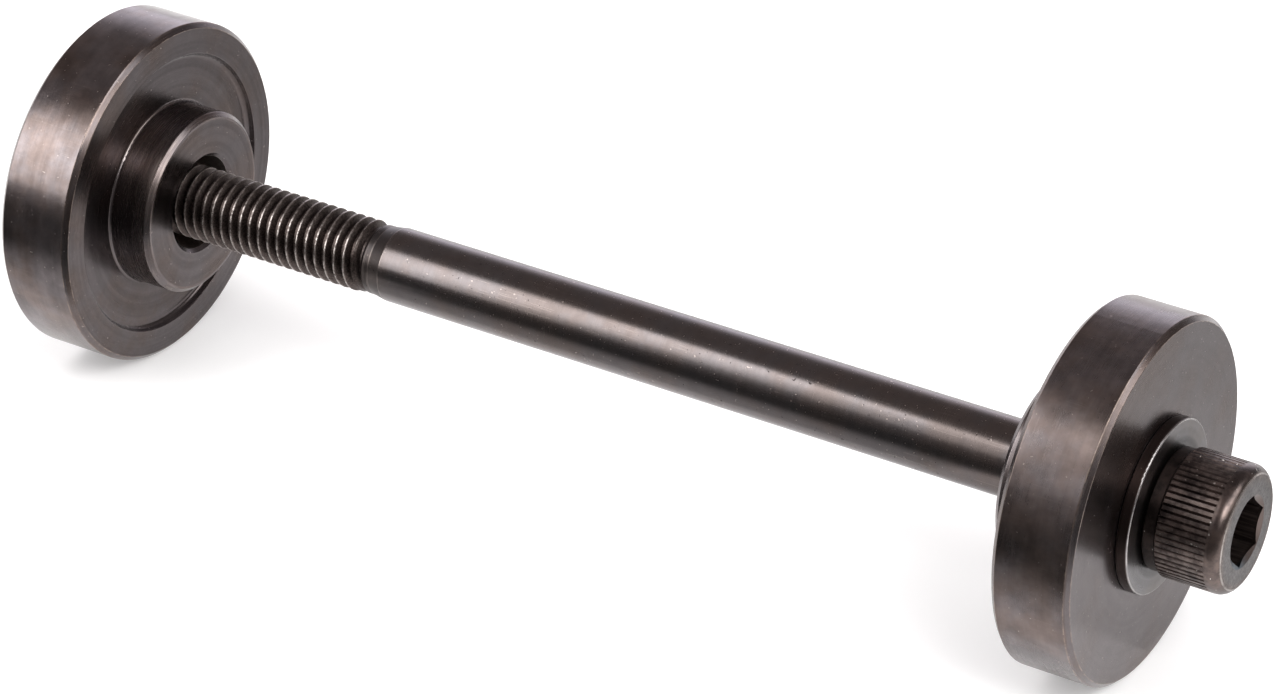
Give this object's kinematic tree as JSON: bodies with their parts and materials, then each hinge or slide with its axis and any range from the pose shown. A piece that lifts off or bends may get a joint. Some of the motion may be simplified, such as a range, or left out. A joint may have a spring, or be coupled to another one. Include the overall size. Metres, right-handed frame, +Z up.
{
  "type": "bottom bracket cup press",
  "caption": "Hand press that draws a bottom bracket's cups into a frame: a long socket-head screw pulls two stepped round discs together.",
  "frame": {"origin": "on the plane that the two rims rest on, straight under the middle of the screw's overall length", "axes": "+X along the screw towards its head, +Z up, so the screw's axis is at Z = 23.5 mm"},
  "size_m": [0.1704, 0.047, 0.047],
  "materials": {
    "screw_steel": "black oxide on rolled and drawn steel, knurled head",
    "washer_steel": "black oxide, smooth rolled faces",
    "press_disc_steel": "black oxide on turned steel, fine tool lines",
    "nut_disc_steel": "black oxide on turned steel, fine tool lines"
  },
  "bodies": {
    "press_disc": {"press_disc": "press_disc_steel"},
    "washer": {"washer": "washer_steel"},
    "bolt": {"bolt": "screw_steel"},
    "nut_disc": {"nut_disc": "nut_disc_steel"}
  },
  "joints": [
    {"name": "washer_slide", "type": "slide", "parent": "press_disc", "child": "washer", "axis": [1, 0, 0], "range_m": [0, 0.092]},
    {"name": "bolt_spin", "type": "hinge", "parent": "washer", "child": "bolt", "pos_m": [0, 0, 0.0235], "axis": [-1, 0, 0], "range_deg": [-2750, 7250]},
    {"name": "nut_disc_feed", "type": "slide", "parent": "washer", "child": "nut_disc", "axis": [1, 0, 0], "range_m": [-0.01125, 0.03]}
  ],
  "couplings": [
    {"joint": "bolt_spin", "follows": "nut_disc_feed", "rad_per_m": 4188.8}
  ]
}
